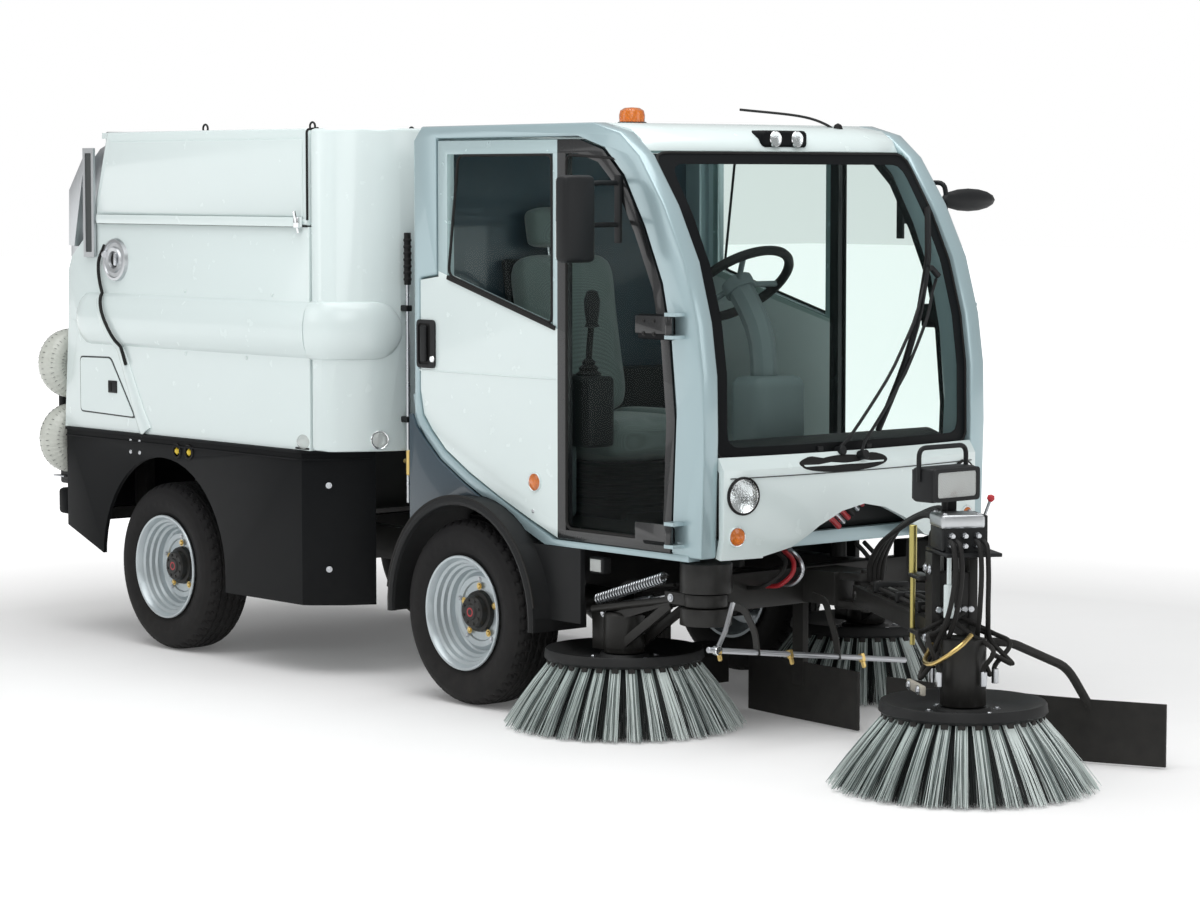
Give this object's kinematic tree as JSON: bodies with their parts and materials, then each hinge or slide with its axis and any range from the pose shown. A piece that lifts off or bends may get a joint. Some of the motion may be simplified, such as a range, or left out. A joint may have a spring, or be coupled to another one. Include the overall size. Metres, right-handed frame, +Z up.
{
  "type": "compact street sweeper",
  "caption": "Compact articulated street sweeper with suction hopper, glazed cab, side brushes and a boom-mounted front brush.",
  "frame": {"origin": "on the ground, midway along the whole length and midway between the two sides", "axes": "+X forward, +Y to the vehicle's left, +Z up; it stands on its four tyres at Z = 0"},
  "size_m": [5.254, 1.94, 1.988],
  "materials": {
    "white_paint": "gloss white with a faint green cast",
    "silver_blue_paint": "metallic silver blue, gloss",
    "slate_paint": "dark slate, gloss",
    "black_plastic": "satin black",
    "chassis_black": "satin black",
    "engine_iron": "cast, dark",
    "tyre": "matt black",
    "rubber": "matt black",
    "rim_paint": "light silver grey",
    "glass": "clear with a faint green tint",
    "seat_fabric": "grey-green woven cloth",
    "steel": "brushed stainless",
    "bristle": "grey-green bristle tufts",
    "hose": "translucent white ribbed hose"
  },
  "bodies": {
    "rear_chassis": {"rear_frame": "chassis_black", "rear_axle": "chassis_black", "lower_skirt": "black_plastic", "side_panel_right": "white_paint", "side_panel_left": "white_paint", "front_module": "white_paint", "rear_hood": "white_paint", "wander_hose": "hose", "engine_block": "engine_iron", "suction_riser": "rubber"},
    "hopper": {"hopper_shell": "white_paint"},
    "tailgate": {"tailgate_shell": "steel", "tailgate_cheek_right": "steel", "tailgate_cheek_left": "steel"},
    "front_chassis": {"front_frame": "chassis_black", "front_axle": "chassis_black", "fender_right": "black_plastic", "fender_left": "black_plastic", "cab_frame": "silver_blue_paint", "cab_roof": "white_paint", "cab_rear_wall": "slate_paint", "cab_floor": "black_plastic", "windscreen": "glass", "nose_panel": "white_paint", "seat": "seat_fabric", "steering_column": "black_plastic", "suction_mouth": "rubber", "guide_flap": "rubber"},
    "boom_base": {"boom_base": "chassis_black"},
    "boom": {"boom": "chassis_black", "work_lamp": "black_plastic", "deflector_plate": "rubber"},
    "front_brush": {"front_brush": "bristle"},
    "rear_wheel_right": {"rear_wheel_right_tyre": "tyre", "rear_wheel_right_rim": "rim_paint"},
    "front_wheel_right": {"front_wheel_right_tyre": "tyre", "front_wheel_right_rim": "rim_paint"},
    "door_right": {"door_right_panel": "white_paint", "door_right_glass": "glass", "mirror_right": "black_plastic"},
    "side_arm_right": {"side_arm_right": "chassis_black"},
    "side_brush_right": {"side_brush_right": "bristle"},
    "rear_wheel_left": {"rear_wheel_left_tyre": "tyre", "rear_wheel_left_rim": "rim_paint"},
    "front_wheel_left": {"front_wheel_left_tyre": "tyre", "front_wheel_left_rim": "rim_paint"},
    "door_left": {"door_left_panel": "white_paint", "door_left_glass": "glass", "mirror_left": "black_plastic"},
    "side_arm_left": {"side_arm_left": "chassis_black"},
    "side_brush_left": {"side_brush_left": "bristle"}
  },
  "joints": [
    {"name": "articulation", "type": "hinge", "parent": "rear_chassis", "child": "front_chassis", "pos_m": [-0.561, 0, 0.41], "axis": [0, 0, 1], "range_deg": [-30, 30]},
    {"name": "hopper_tip", "type": "hinge", "parent": "rear_chassis", "child": "hopper", "pos_m": [-2.381, 0, 1.33], "axis": [0, -1, 0], "range_deg": [0, 50]},
    {"name": "tailgate_lift", "type": "hinge", "parent": "hopper", "child": "tailgate", "pos_m": [-2.198, 0, 1.972], "axis": [0, 1, 0], "range_deg": [0, 80]},
    {"name": "rear_wheel_right_spin", "type": "hinge", "parent": "rear_chassis", "child": "rear_wheel_right", "pos_m": [-1.789, -0.625, 0.321], "axis": [0, 1, 0], "continuous": true},
    {"name": "front_wheel_right_spin", "type": "hinge", "parent": "front_chassis", "child": "front_wheel_right", "pos_m": [0.039, -0.625, 0.321], "axis": [0, 1, 0], "continuous": true},
    {"name": "door_right_swing", "type": "hinge", "parent": "front_chassis", "child": "door_right", "pos_m": [1.069, -0.695, 1], "axis": [0, 0, 1], "range_deg": [0, 75]},
    {"name": "side_arm_right_swing", "type": "hinge", "parent": "front_chassis", "child": "side_arm_right", "pos_m": [1.099, -0.56, 0.455], "axis": [0, 0, 1], "range_deg": [-8, 15]},
    {"name": "side_brush_right_spin", "type": "hinge", "parent": "side_arm_right", "child": "side_brush_right", "pos_m": [0.709, -0.567, 0.205], "axis": [0, 0, 1], "continuous": true},
    {"name": "rear_wheel_left_spin", "type": "hinge", "parent": "rear_chassis", "child": "rear_wheel_left", "pos_m": [-1.789, 0.625, 0.321], "axis": [0, 1, 0], "continuous": true},
    {"name": "front_wheel_left_spin", "type": "hinge", "parent": "front_chassis", "child": "front_wheel_left", "pos_m": [0.039, 0.625, 0.321], "axis": [0, 1, 0], "continuous": true},
    {"name": "door_left_swing", "type": "hinge", "parent": "front_chassis", "child": "door_left", "pos_m": [1.069, 0.695, 1], "axis": [0, 0, -1], "range_deg": [0, 75]},
    {"name": "side_arm_left_swing", "type": "hinge", "parent": "front_chassis", "child": "side_arm_left", "pos_m": [1.099, 0.56, 0.455], "axis": [0, 0, -1], "range_deg": [-8, 15]},
    {"name": "side_brush_left_spin", "type": "hinge", "parent": "side_arm_left", "child": "side_brush_left", "pos_m": [0.709, 0.567, 0.205], "axis": [0, 0, 1], "continuous": true},
    {"name": "boom_swing", "type": "hinge", "parent": "front_chassis", "child": "boom_base", "pos_m": [1.269, 0, 0.455], "axis": [0, 0, 1], "range_deg": [-15, 35]},
    {"name": "boom_lift", "type": "hinge", "parent": "boom_base", "child": "boom", "pos_m": [1.369, -0.05842, 0.455], "axis": [-0.5044, -0.8634, 0], "range_deg": [0, 22]},
    {"name": "front_brush_spin", "type": "hinge", "parent": "boom", "child": "front_brush", "pos_m": [2.219, -0.555, 0.205], "axis": [0, 0, 1], "continuous": true}
  ]
}
